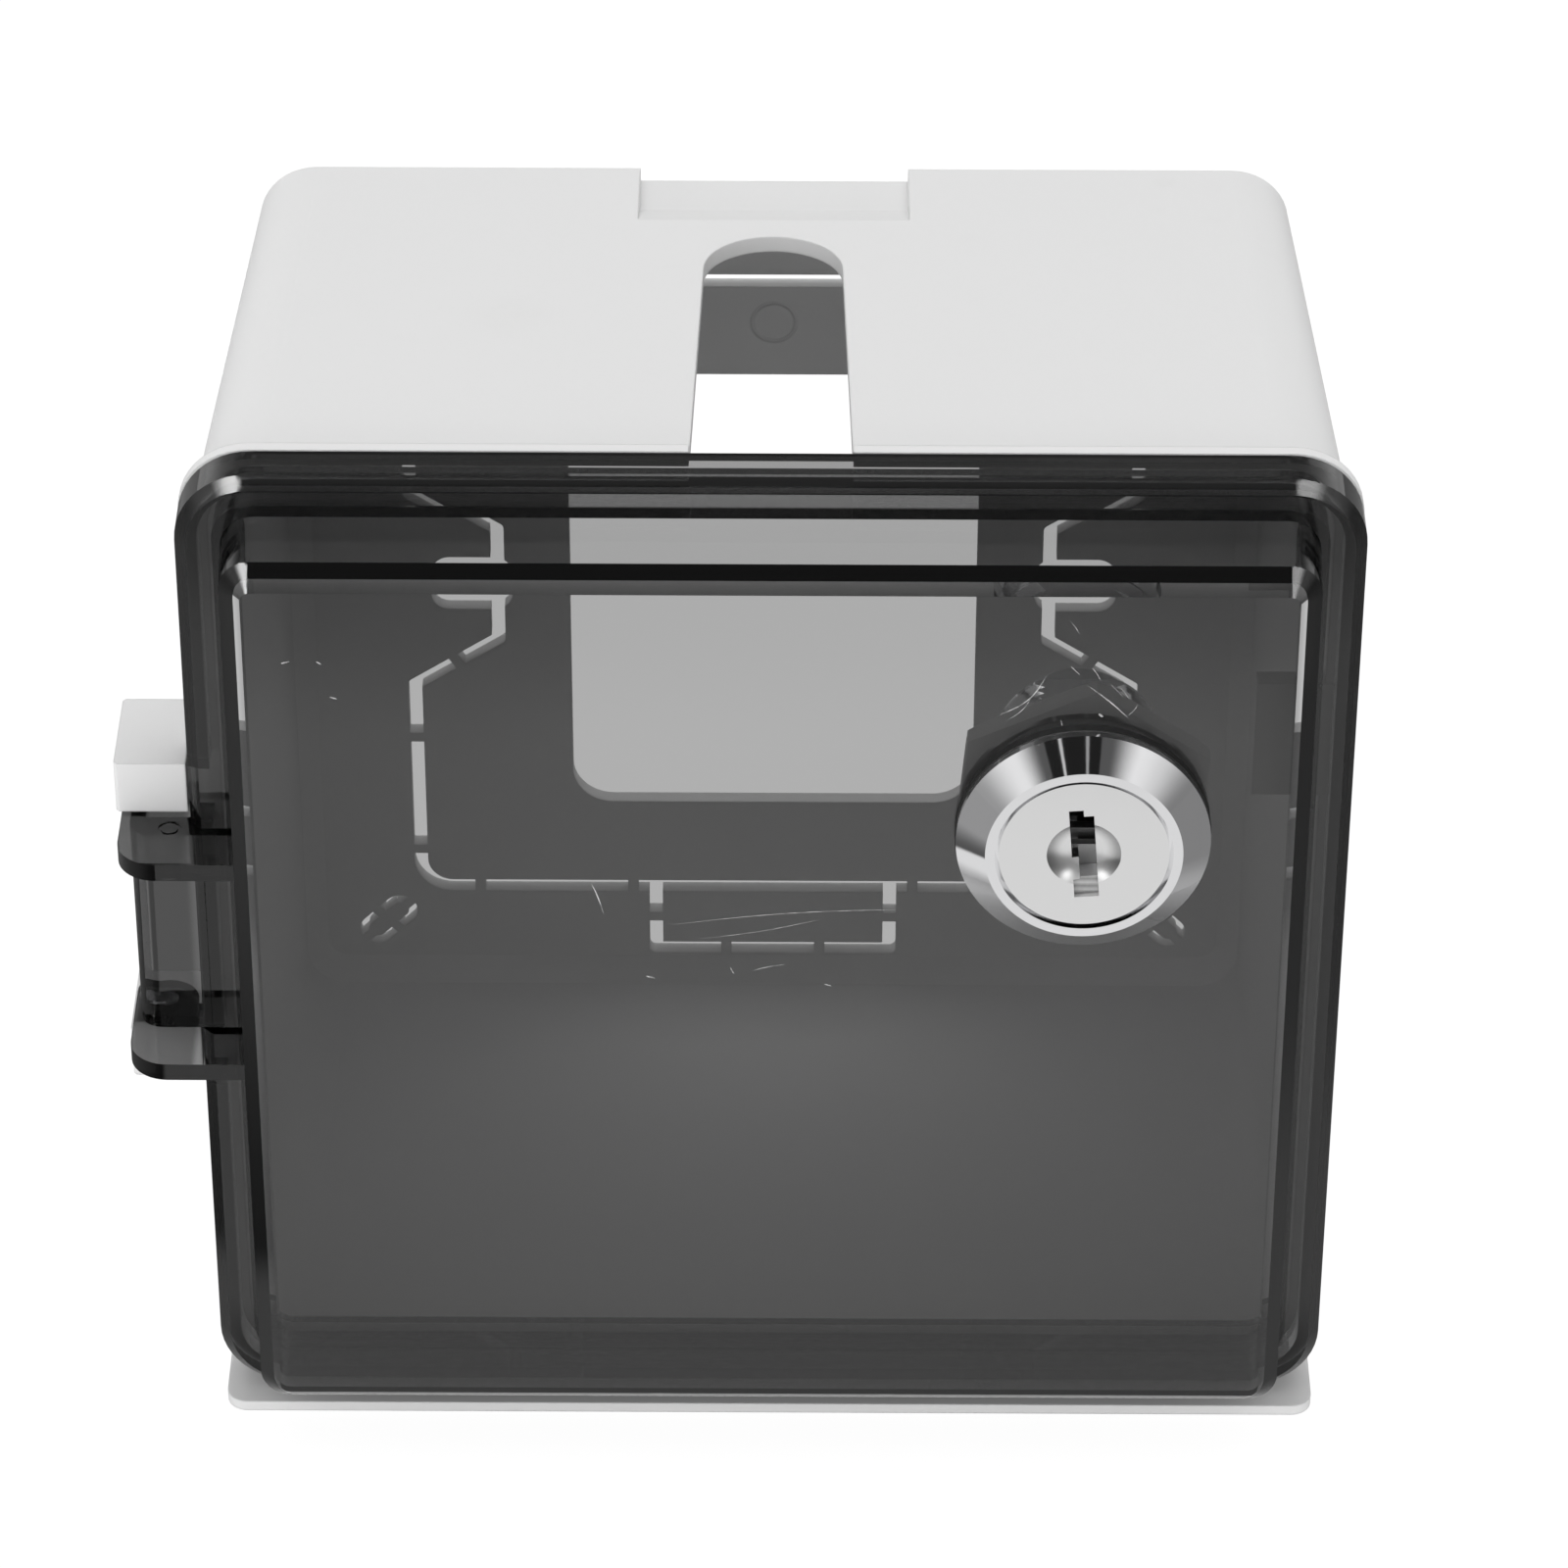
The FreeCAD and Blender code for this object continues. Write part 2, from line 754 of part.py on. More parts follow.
def make_hinge_pin(bottom, top):
    """A short steel pin with broken ends."""
    pin = post(pin_radius, bottom, top, hinge_x, hinge_y)
    return one_solid(pin.makeChamfer(pin_end_bevel, [e for e in pin.Edges if e.Curve.TypeId == "Part::GeomCircle"]))


def placed(shape):
    """Move a piece of the lock from its own axis to its place on the lid."""
    copy = shape.copy()
    copy.translate(V(lock_x, window_face, lock_z))
    return copy


def revolved(points):
    """A ring or disc about the lock's axis from points of radius and depth."""
    wire = Part.makePolygon([V(r, s, 0) for r, s in points + points[:1]])
    return Part.Face(wire).revolve(V(0, 0, 0), Y_AXIS, 360)


def sector(inner, outer, start, end, centre_angle, spread):
    """Part of a ring about the lock's axis, centred on an angle from +X towards +Z."""
    ring = rod(outer, start, end).cut(rod(inner, start, end))
    half = math.radians(spread / 2)
    middle = math.radians(centre_angle)
    reach = 2 * outer

    def at(angle, radius):
        return V(radius * math.cos(angle), start, radius * math.sin(angle))

    corners = [V(0, start, 0), at(middle - half, reach), at(middle, reach), at(middle + half, reach), V(0, start, 0)]
    wedge = prism(Part.makePolygon(corners), end - start)
    return ring.common(wedge)


def make_lock_housing():
    """Bezel, threaded barrel, bore for the plug and room for the wafers."""
    rim_front = housing_seat - bezel_rim
    head = revolved([
        (thread_radius - thread_depth, housing_seat),
        (bezel_radius, housing_seat),
        (bezel_radius, rim_front),
        (bezel_flat_radius, bezel_front),
        (face_recess_radius, bezel_front),
        (face_recess_radius, bezel_front + face_recess_depth),
        (bore_radius, bezel_front + face_recess_depth),
        (bore_radius, barrel_end),
        (thread_radius - thread_depth, barrel_end),
    ])
    root = thread_radius - thread_depth
    profile = [(root - overlap, housing_seat), (thread_radius, housing_seat)]
    s = housing_seat + thread_plain
    profile.append((thread_radius, s))
    while s + thread_pitch < barrel_end - thread_depth:
        profile.append((root, s + thread_pitch / 2))
        profile.append((thread_radius, s + thread_pitch))
        s += thread_pitch
    profile.append((thread_radius, barrel_end - thread_depth))
    profile.append((root, barrel_end))
    profile.append((root - overlap, barrel_end))
    thread = revolved(profile)
    body = head.fuse(thread)
    keep = barrel_section(0.0, housing_seat, barrel_end).fuse(rod(bezel_radius, bezel_front, housing_seat))
    body = body.common(keep)
    channel_half = wafer_width / 2 + wafer_slot_clearance
    channel_start = wafer_first - wafer_thickness
    channel = block(-channel_half, channel_half, channel_start, barrel_end + overlap, -wafer_channel_reach, wafer_channel_reach)
    channel = channel.cut(rod(bore_radius - overlap, channel_start, barrel_end + overlap))
    stop_spread = quarter_turn + stop_tab_angle + 2 * stop_play_angle
    stop_middle = stop_start_angle + quarter_turn / 2
    stop_room = sector(bore_radius - overlap, stop_radius + running_clearance, barrel_end - stop_tab_depth - parting_gap,
                       barrel_end + overlap, stop_middle, stop_spread)
    return one_solid(body.cut([channel, stop_room]))


def key_slot(depth_start, depth_end):
    """The slot for the key, with a filled corner, a ward, a shallow foot and a little lean."""
    half = key_slot_width / 2
    slot = block(-half, half, depth_start, depth_end, key_slot_bottom, key_slot_top)
    corner = block(half - key_corner_width, half, depth_start, depth_end, key_slot_top - key_corner_height, key_slot_top)
    ward = block(-half, -half + ward_reach, depth_start, depth_end, key_slot_bottom, ward_top)
    foot = block(-half, half, depth_start, plug_face + key_foot_depth, key_foot_bottom, key_slot_bottom)
    slot = slot.cut([corner, ward]).fuse(foot)
    slot.rotate(V(0, 0, 0), Y_AXIS, -key_slot_lean)
    return slot


def wafer_starts():
    """Depth of the front face of each wafer."""
    return [wafer_first + index * wafer_pitch for index in range(wafer_count)]


def make_lock_plug():
    """The turning plug: face with a dish, key slot, wafer slots and square tail."""
    head_radius = face_recess_radius - plug_head_clearance
    ball = (dish_radius ** 2 + dish_depth ** 2) / (2 * dish_depth)
    dish = Part.makeSphere(ball, V(0, plug_face + dish_depth - ball, 0))
    head = rod(head_radius, plug_face, plug_head_back)
    body = rod(plug_radius, plug_head_back - overlap, plug_end)
    half = tail_width / 2
    tail = block(-half, half, plug_end - overlap, tail_end, -half, half).common(rod(tail_corner_radius, plug_end - overlap, tail_end))
    plug = head.fuse([body, tail])
    cuts = [dish, key_slot(plug_face - overlap, bezel_front + key_slot_depth)]
    slot_half = wafer_width / 2 + wafer_slot_clearance
    for start in wafer_starts():
        front = start - wafer_slot_clearance
        back = start + wafer_thickness + wafer_slot_clearance
        middle = start + wafer_thickness / 2
        cuts.append(block(-slot_half, slot_half, front, back, -plug_radius - overlap, plug_radius + overlap))
        ear_end = wafer_width / 2 + wafer_ear_width + wafer_slot_clearance
        cuts.append(block(0, ear_end, front, back, wafer_ear_base - 2 * wafer_slot_clearance, spring_pocket_top))
        pocket = Part.makeCylinder(spring_pocket_radius, spring_pocket_top - spring_pocket_floor, V(spring_x, middle, spring_pocket_floor), Z_AXIS)
        cuts.append(pocket)
    cuts.append(rod(thread_hole_radius, tail_end - screw_reach - overlap, tail_end + overlap))
    return one_solid(plug.cut(cuts))


def make_wafer(start, code):
    """One sliding wafer, at the place where the right key would hold it."""
    half = wafer_width / 2
    plate = block(-half, half, start, start + wafer_thickness, -wafer_length / 2, wafer_length / 2)
    ear = block(half - overlap, half + wafer_ear_width, start, start + wafer_thickness, wafer_ear_base, wafer_ear_base + wafer_ear_height)
    window_half = wafer_window_width / 2
    window = block(-window_half, window_half, start - overlap, start + wafer_thickness + overlap,
                   code - wafer_window_height / 2, code + wafer_window_height / 2)
    return one_solid(plate.fuse(ear).cut(window))


def make_wafer_springs():
    """One coil spring under the ear of each wafer."""
    free = wafer_ear_base - spring_pocket_floor - 2 * running_clearance
    rise = free - 2 * spring_wire_radius
    springs = []
    for start in wafer_starts():
        base = V(spring_x, start + wafer_thickness / 2, spring_pocket_floor + running_clearance + spring_wire_radius)
        helix = Part.makeHelix(rise / spring_turns, rise, spring_coil_radius)
        helix.translate(base)
        wire_section = Part.Wire(Part.makeCircle(spring_wire_radius, base + V(spring_coil_radius, 0, 0), Y_AXIS))
        coil = Part.Wire(helix.Edges).makePipeShell([wire_section], True, True)
        springs.append(coil.Solids[0])
    return Part.makeCompound(springs)


def make_lock_rubber_ring():
    """The soft ring between the bezel and the window."""
    ring = rod(lock_rubber_radius, housing_seat, 0)
    return one_solid(ring.cut(rod(thread_radius + barrel_hole_clearance, housing_seat - overlap, overlap)))


def make_lock_nut():
    """The thin hexagon nut, held off the window by its round collar."""
    corner_radius = nut_across_flats / math.sqrt(3)
    start = window_plate + nut_collar_length
    end = start + nut_thickness
    corners = []
    for step in range(7):
        angle = math.radians(90 + nut_turn + 60 * step)
        corners.append(V(corner_radius * math.cos(angle), start, corner_radius * math.sin(angle)))
    nut = prism(Part.makePolygon(corners), nut_thickness)
    edge = nut_edge_bevel
    rounding = revolved([
        (0, start),
        (corner_radius, start),
        (corner_radius, end - edge / 2),
        (corner_radius - edge, end),
        (0, end),
    ])
    nut = nut.common(rounding).fuse(rod(nut_collar_radius, window_plate, start + overlap))
    return one_solid(nut.cut(rod(thread_radius + running_clearance, window_plate - overlap, end + overlap)))


def square_hole(start, end):
    """The square hole that fits the tail of the plug."""
    half = tail_width / 2 + square_clearance
    return block(-half, half, start - overlap, end + overlap, -half, half)


def make_stop_washer():
    """The washer whose tab stops the plug after a quarter turn."""
    disc = rod(stop_radius, stop_front, cam_front).cut(square_hole(stop_front, cam_front))
    tab = sector(stop_tab_inner, stop_radius, barrel_end - stop_tab_depth, stop_front + overlap, stop_start_angle, stop_tab_angle)
    return one_solid(disc.fuse(tab))


def make_lock_cam():
    """The flat cam, pointing down as it does when the lid is unlocked."""
    hub = rod(cam_hub_radius, cam_front, cam_back)
    corner = cam_corner_radius
    half = cam_width / 2
    arm = block(-half, half, cam_front, cam_back, -cam_length, 0)
    tips = [edge for edge in arm.Edges if edge.Vertexes[0].Z < -cam_length + corner and edge.Vertexes[1].Z < -cam_length + corner
            and abs(edge.Vertexes[0].Y - edge.Vertexes[1].Y) > corner / 2]
    arm = arm.makeFillet(corner, tips)
    return one_solid(hub.fuse(arm).cut(square_hole(cam_front, cam_back)))


def make_cam_spring_washer():
    """The split washer under the screw head."""
    ring = rod(washer_outer_radius, cam_back, washer_back).cut(rod(washer_inner_radius, cam_back, washer_back))
    split = block(0, 2 * washer_outer_radius, cam_back, washer_back, -washer_split / 2, washer_split / 2)
    return one_solid(ring.cut(split))


def make_cam_screw():
    """The pan head screw that holds the cam."""
    head_back = washer_back + screw_head_height
    head = revolved([
        (0, washer_back),
        (screw_head_radius, washer_back),
        (screw_head_radius, head_back - screw_head_edge),
        (screw_head_radius - screw_head_edge, head_back),
        (0, head_back),
    ])
    shank = rod(screw_radius, tail_end - screw_reach, washer_back + overlap)
    half = cross_length / 2
    thin = cross_width / 2
    cross = [
        block(-half, half, head_back - cross_depth, head_back + overlap, -thin, thin),
        block(-thin, thin, head_back - cross_depth, head_back + overlap, -half, half),
    ]
    return one_solid(head.fuse(shank).cut(cross))


def build_parts():
    """Every node of the part by its name."""
    parts = {
        "base_shell": make_base_shell(),
        "lid_cover": make_lid_cover(),
        "hinge_pin_upper": make_hinge_pin(hinge_top - tab_thickness - pin_stand_out, hinge_top + parting_gap + pin_seat_depth),
        "hinge_pin_lower": make_hinge_pin(hinge_bottom - parting_gap - pin_seat_depth, hinge_bottom + tab_thickness + pin_stand_out),
        "lock_rubber_ring": placed(make_lock_rubber_ring()),
        "lock_housing": placed(make_lock_housing()),
        "lock_nut": placed(make_lock_nut()),
        "lock_plug": placed(make_lock_plug()),
        "wafer_springs": placed(make_wafer_springs()),
        "stop_washer": placed(make_stop_washer()),
        "lock_cam": placed(make_lock_cam()),
        "cam_spring_washer": placed(make_cam_spring_washer()),
        "cam_screw": placed(make_cam_screw()),
    }
    for index, (start, code) in enumerate(zip(wafer_starts(), wafer_code)):
        parts["wafer_%d" % (index + 1)] = placed(make_wafer(start, code))
    return parts


def main():
    """Build every node and write one STEP file for each."""
    os.makedirs("parts", exist_ok=True)
    for name, shape in build_parts().items():
        shape.exportStep("parts/%s.step" % name)
        box = shape.BoundBox
        size = (box.XLength, box.YLength, box.ZLength)
        print("%-18s solids %d  size %.1f x %.1f x %.1f  valid %s" % ((name, len(shape.Solids)) + size + (shape.isValid(),)))


main()
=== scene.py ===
"""Looks for a lockable outlet cover box: finishes, lid scuffs, studio and camera, in metres."""

import json
import logging
import math
from dataclasses import dataclass
from enum import Enum
from typing import Any, Dict, Iterable, List, Optional, Sequence, Tuple, Union

import bpy
from mathutils import Matrix, Vector

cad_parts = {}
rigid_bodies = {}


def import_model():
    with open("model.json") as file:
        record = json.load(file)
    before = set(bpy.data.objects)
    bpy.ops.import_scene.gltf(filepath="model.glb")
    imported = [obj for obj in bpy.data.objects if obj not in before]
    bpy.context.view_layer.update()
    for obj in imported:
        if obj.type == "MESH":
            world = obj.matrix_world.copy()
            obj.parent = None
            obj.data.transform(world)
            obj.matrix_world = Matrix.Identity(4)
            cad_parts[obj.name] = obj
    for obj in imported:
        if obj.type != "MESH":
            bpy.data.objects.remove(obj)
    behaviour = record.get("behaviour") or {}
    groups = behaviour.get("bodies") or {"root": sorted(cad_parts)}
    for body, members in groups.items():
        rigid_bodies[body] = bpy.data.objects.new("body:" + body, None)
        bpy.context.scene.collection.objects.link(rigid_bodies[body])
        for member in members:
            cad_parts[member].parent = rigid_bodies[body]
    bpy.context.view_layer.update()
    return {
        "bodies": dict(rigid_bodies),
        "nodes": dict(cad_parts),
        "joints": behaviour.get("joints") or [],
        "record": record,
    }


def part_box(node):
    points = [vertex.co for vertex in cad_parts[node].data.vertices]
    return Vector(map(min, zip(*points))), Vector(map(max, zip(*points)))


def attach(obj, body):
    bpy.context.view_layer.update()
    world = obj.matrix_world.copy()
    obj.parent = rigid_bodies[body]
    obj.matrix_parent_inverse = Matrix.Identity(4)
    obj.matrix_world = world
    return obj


LOG = logging.getLogger("cover_box")
MM = 0.001
Number = Union[int, float]
Point = Tuple[float, float, float]


class Ray(Enum):
    """The kinds of ray that a finish or the studio can tell apart."""

    CAMERA = "Is Camera Ray"
    GLOSSY = "Is Glossy Ray"
    SHADOW = "Is Shadow Ray"
    DIFFUSE = "Is Diffuse Ray"
    THROUGH = "Is Transmission Ray"
    MIRRORED = "Glossy Depth"


class Tone:
    """One output of a shader node, ready for Python sums."""

    def __init__(self, sheet: "NodeSheet", socket: bpy.types.NodeSocket) -> None:
        """Keep the socket and the sheet it lies on.

        Args:
            sheet: The node sheet that holds the socket.
            socket: The output socket to wrap.
        """
        self.sheet = sheet
        self.socket = socket

    def _sum(self, operation: str, first: Any, second: Any) -> "Tone":
        """Add one Math node.

        Args:
            operation: The Math node's operation.
            first: Its first value or link.
            second: Its second value or link.

        Returns:
            The node's output.
        """
        return self.sheet.add("ShaderNodeMath", {"operation": operation}, {0: first, 1: second})

    def __add__(self, other: Any) -> "Tone":
        """self + other."""
        return self._sum("ADD", self, other)

    def __radd__(self, other: Any) -> "Tone":
        """other + self."""
        return self._sum("ADD", other, self)

    def __sub__(self, other: Any) -> "Tone":
        """self - other."""
        return self._sum("SUBTRACT", self, other)

    def __rsub__(self, other: Any) -> "Tone":
        """other - self."""
        return self._sum("SUBTRACT", other, self)

    def __mul__(self, other: Any) -> "Tone":
        """self * other."""
        return self._sum("MULTIPLY", self, other)

    def __rmul__(self, other: Any) -> "Tone":
        """other * self."""
        return self._sum("MULTIPLY", other, self)

    def __truediv__(self, other: Any) -> "Tone":
        """self / other."""
        return self._sum("DIVIDE", self, other)

    def __pow__(self, other: Any) -> "Tone":
        """self to the power of other."""
        return self._sum("POWER", self, other)

    def either(self, other: Any) -> "Tone":
        """The larger of two values."""
        return self._sum("MAXIMUM", self, other)

    def size(self) -> "Tone":
        """The value without its sign."""
        return self.sheet.add("ShaderNodeMath", {"operation": "ABSOLUTE"}, {0: self})

    def step(self, start: float, end: float) -> "Tone":
        """A soft step between two values.

        Args:
            start: The value that gives 0.
            end: The value that gives 1.

        Returns:
            A value from 0 to 1.
        """
        return self.sheet.add(
            "ShaderNodeMapRange",
            {"interpolation_type": "SMOOTHSTEP"},
            {"Value": self, "From Min": start, "From Max": end},
        )


class NodeSheet:
    """The node tree of one material or world."""

    def __init__(self, owner: Union[bpy.types.Material, bpy.types.World]) -> None:
        """Clear the owner's nodes.

        Args:
            owner: The material or world that gets the nodes.
        """
        owner.use_nodes = True
        self.tree = owner.node_tree
        self.tree.nodes.clear()

    def add(self, kind: str, settings: Optional[Dict[str, Any]] = None,
            inputs: Optional[Dict[Union[int, str], Any]] = None, output: Union[int, str] = 0) -> Tone:
        """Add one node.

        Args:
            kind: The node's type.
            settings: Properties to set first; "stops" fills a colour ramp.
            inputs: Values or links by socket index, name or identifier.
            output: Which output to hand back.

        Returns:
            The chosen output.
        """
        node = self.tree.nodes.new(kind)
        for key, value in (settings or {}).items():
            if key == "stops":
                self._fill_ramp(node, value)
            else:
                setattr(node, key, value)
        for key, value in (inputs or {}).items():
            self._plug(self._find(node.inputs, key), value)
        outputs = node.outputs
        return Tone(self, self._find(outputs, output)) if len(outputs) else Tone(self, None)

    @staticmethod
    def _fill_ramp(node: bpy.types.Node, stops: Sequence[Tuple[float, float]]) -> None:
        """Set the grey stops of a colour ramp."""
        ramp = node.color_ramp
        while len(ramp.elements) < len(stops):
            ramp.elements.new(0.5)
        for element, (place, grey) in zip(ramp.elements, stops):
            element.position = place
            element.color = (grey, grey, grey, 1.0)

    @staticmethod
    def _find(sockets: Any, key: Union[int, str]) -> bpy.types.NodeSocket:
        """A socket by index, identifier or name."""
        if isinstance(key, int):
            return sockets[key]
        for socket in sockets:
            if socket.identifier == key:
                return socket
        return sockets[key]

    def _plug(self, socket: bpy.types.NodeSocket, value: Any) -> None:
        """Link a tone, or set a plain value."""
        if isinstance(value, Tone):
            self.tree.links.new(value.socket, socket)
        elif socket.type == "RGBA" and isinstance(value, (int, float)):
            socket.default_value = (value, value, value, 1.0)
        elif socket.type == "RGBA" and len(value) == 3:
            socket.default_value = (*value, 1.0)
        else:
            socket.default_value = value

    def place(self) -> Tone:
        """Where a point lies, in metres in the part's frame."""
        return self.add("ShaderNodeTexCoord", output="Object")

    def axes(self, vector: Tone) -> Tuple[Tone, Tone, Tone]:
        """The three parts of a vector.

        Args:
            vector: The vector to take apart.

        Returns:
            Its X, Y and Z.
        """
        first = self.add("ShaderNodeSeparateXYZ", inputs={0: vector})
        outputs = first.socket.node.outputs
        return first, Tone(self, outputs[1]), Tone(self, outputs[2])

    def noise(self, vector: Tone, grain_mm: float, detail: float = 3.0, rough: float = 0.5) -> Tone:
        """Noise with grains of a real size.

        Args:
            vector: Where to read it.
            grain_mm: The size of a grain.
            detail: How many finer layers it has.
            rough: How strong the finer layers are.

        Returns:
            A value about 0.5.
        """
        return self.add("ShaderNodeTexNoise", None,
                        {"Vector": vector, "Scale": 1.0 / (grain_mm * MM), "Detail": detail, "Roughness": rough})

    def stretched(self, vector: Tone, scale: Point) -> Tone:
        """A vector times a scale along each axis."""
        return self.add("ShaderNodeVectorMath", {"operation": "MULTIPLY"}, {0: vector, 1: scale})

    def spot(self, vector: Tone, centre: Point, radius: float, soft: float) -> Tone:
        """A round soft mask.

        Args:
            vector: Where to read it.
            centre: The middle of the spot.
            radius: Its radius.
            soft: The width of its edge.

        Returns:
            1 inside and 0 outside.
        """
        gap = self.add("ShaderNodeVectorMath", {"operation": "DISTANCE"}, {0: vector, 1: centre}, "Value")
        return 1 - gap.step(radius - soft, radius + soft)

    def blend(self, share: Union[Tone, Number], first: Any, second: Any) -> Tone:
        """Mix two colours.

        Args:
            share: How much of the second colour shows.
            first: The first colour.
            second: The second colour.

        Returns:
            The mixed colour.
        """
        return self.add("ShaderNodeMix", {"data_type": "RGBA"},
                        {"Factor_Float": share, "A_Color": first, "B_Color": second}, "Result_Color")

    def relief(self, height: Tone, depth_mm: float, strength: float = 1.0, under: Optional[Tone] = None) -> Tone:
        """A bumped normal.

        Args:
            height: The height from 0 to 1.
            depth_mm: The depth of the relief.
            strength: How much of it shows.
            under: A normal to start from.

        Returns:
            The normal.
        """
        inputs: Dict[Union[int, str], Any] = {"Height": height, "Distance": depth_mm * MM, "Strength": strength}
        if under is not None:
            inputs["Normal"] = under
        return self.add("ShaderNodeBump", None, inputs)

    def ray(self, kind: Ray) -> Tone:
        """1 for one kind of ray."""
        return self.add("ShaderNodeLightPath", output=kind.value)

    def clear_view(self) -> Tone:
        """1 for a ray that only clear pieces have bent, and no surface has mirrored."""
        return self.ray(Ray.THROUGH) * (1 - self.ray(Ray.MIRRORED).step(0.0, 1.0))

    def finish(self, surface: Tone, volume: Optional[Tone] = None) -> None:
        """Link the material's output."""
        inputs: Dict[Union[int, str], Any] = {"Surface": surface}
        if volume is not None:
            inputs["Volume"] = volume
        self.add("ShaderNodeOutputMaterial", None, inputs)


@dataclass(frozen=True)
class Finish:
    """A named surface finish."""

    name: str

    def material(self) -> bpy.types.Material:
        """The finish's material, made once.

        Returns:
            The Blender material.
        """
        found = bpy.data.materials.get(self.name)
        if found is None:
            found = bpy.data.materials.new(self.name)
            self.paint(NodeSheet(found))
        return found

    def paint(self, sheet: NodeSheet) -> None:
        """Fill the node sheet; each finish has its own."""
        raise NotImplementedError


@dataclass(frozen=True)
class MouldedWhite(Finish):
    """Satin white moulded plastic with a fine grain and a few faint marks."""

    albedo: float = 0.80
    wear_and_shade_tone: float = 0.74
    grain_mm: float = 0.25
    smudges: Tuple[Tuple[Point, float], ...] = ()

    def paint(self, sheet: NodeSheet) -> None:
        """Colour, satin sheen, grain and softened edges."""
        place = sheet.place()
        drift = sheet.noise(place, 30.0, 4.0, 0.6).step(0.3, 0.7)
        tone = sheet.blend(drift * 0.35, self.albedo, self.albedo - 0.02)
        mark: Union[Tone, Number] = sheet.noise(place, 6.0, 3.0).step(0.62, 0.8) * 0.12
        for centre, radius in self.smudges:
            mark = mark + sheet.spot(place, centre, radius, radius * 0.6) * sheet.noise(place, 1.5) * 0.35
        tone = sheet.blend(mark, tone, (self.wear_and_shade_tone, self.wear_and_shade_tone, self.wear_and_shade_tone * 0.99))
        grain = sheet.noise(place, self.grain_mm, 2.0)
        rounded = sheet.add("ShaderNodeBevel", {"samples": 4}, {"Radius": 0.35 * MM})
        surface = sheet.add("ShaderNodeBsdfPrincipled", None, {
            "Base Color": tone,
            "Roughness": 0.4 + drift * 0.08 + grain * 0.05,
            "IOR": 1.48,
            "Normal": sheet.relief(grain, 0.006, 0.35, rounded),
        })
        sheet.finish(surface)


@dataclass(frozen=True)
class SmokedClear(Finish):
    """See-through smoked plastic; its thickness sets how dark it looks, and painted shade darkens its hinge tabs."""

    density: float = 376.0
    index: float = 1.53
    light_share: float = 0.60
    tab_painted_shade: float = 0.5
    tab_edge: float = -65.5 * MM

    def paint(self, sheet: NodeSheet) -> None:
        """A polished clear surface over a grey body colour, with painted shade on the hinge tabs."""
        place = sheet.place()
        handling = sheet.noise(sheet.stretched(place, (1.0, 1.0, 0.35)), 9.0, 5.0, 0.65).step(0.55, 0.8)
        ripple = sheet.noise(place, 14.0, 1.0)
        x, _, _ = sheet.axes(place)
        # Painted shade: the hinge tabs' colour is darkened, standing in for the shadow on the hinge block behind them.
        tab_shade_mask = 1 - x.step(self.tab_edge - 0.5 * MM, self.tab_edge + 0.5 * MM)
        glass = sheet.add("ShaderNodeBsdfPrincipled", None, {
            "Base Color": sheet.blend(tab_shade_mask, 1.0, self.tab_painted_shade),
            "Roughness": handling * 0.008,
            "IOR": self.index,
            "Transmission Weight": 1.0,
            "Normal": sheet.relief(ripple, 0.02, 0.02),
        })
        open_way = sheet.add("ShaderNodeBsdfTransparent", None, {"Color": self.light_share})
        free = sheet.ray(Ray.SHADOW).either(sheet.ray(Ray.DIFFUSE))
        surface = sheet.add("ShaderNodeMixShader", None, {0: free, 1: glass, 2: open_way})
        body = sheet.add("ShaderNodeVolumeAbsorption", None, {"Color": (0.02, 0.02, 0.02), "Density": self.density})
        sheet.finish(surface, body)


@dataclass(frozen=True)
class Metal(Finish):
    """A metal with its own shine, fine scratches and faint stains."""

    albedo: Point = (0.8, 0.8, 0.8)
    polish: float = 0.06
    stain: float = 0.04
    scratch_mm: float = 0.08
    scratch: float = 0.05
    lay: Point = (1.0, 1.0, 1.0)

    def paint(self, sheet: NodeSheet) -> None:
        """Colour, shine and the lay of the scratches."""
        place = sheet.place()
        cloud = sheet.noise(place, 3.0, 4.0, 0.6)
        fine = sheet.noise(sheet.stretched(place, self.lay), self.scratch_mm, 2.0)
        dull = tuple(value * 0.82 for value in self.albedo)
        surface = sheet.add("ShaderNodeBsdfPrincipled", None, {
            "Base Color": sheet.blend(cloud.step(0.45, 0.8) * self.stain * 4, self.albedo, dull),
            "Metallic": 1.0,
            "Roughness": self.polish + cloud * self.stain + fine * self.scratch,
            "Normal": sheet.relief(fine, 0.002, self.scratch * 4),
        })
        sheet.finish(surface)


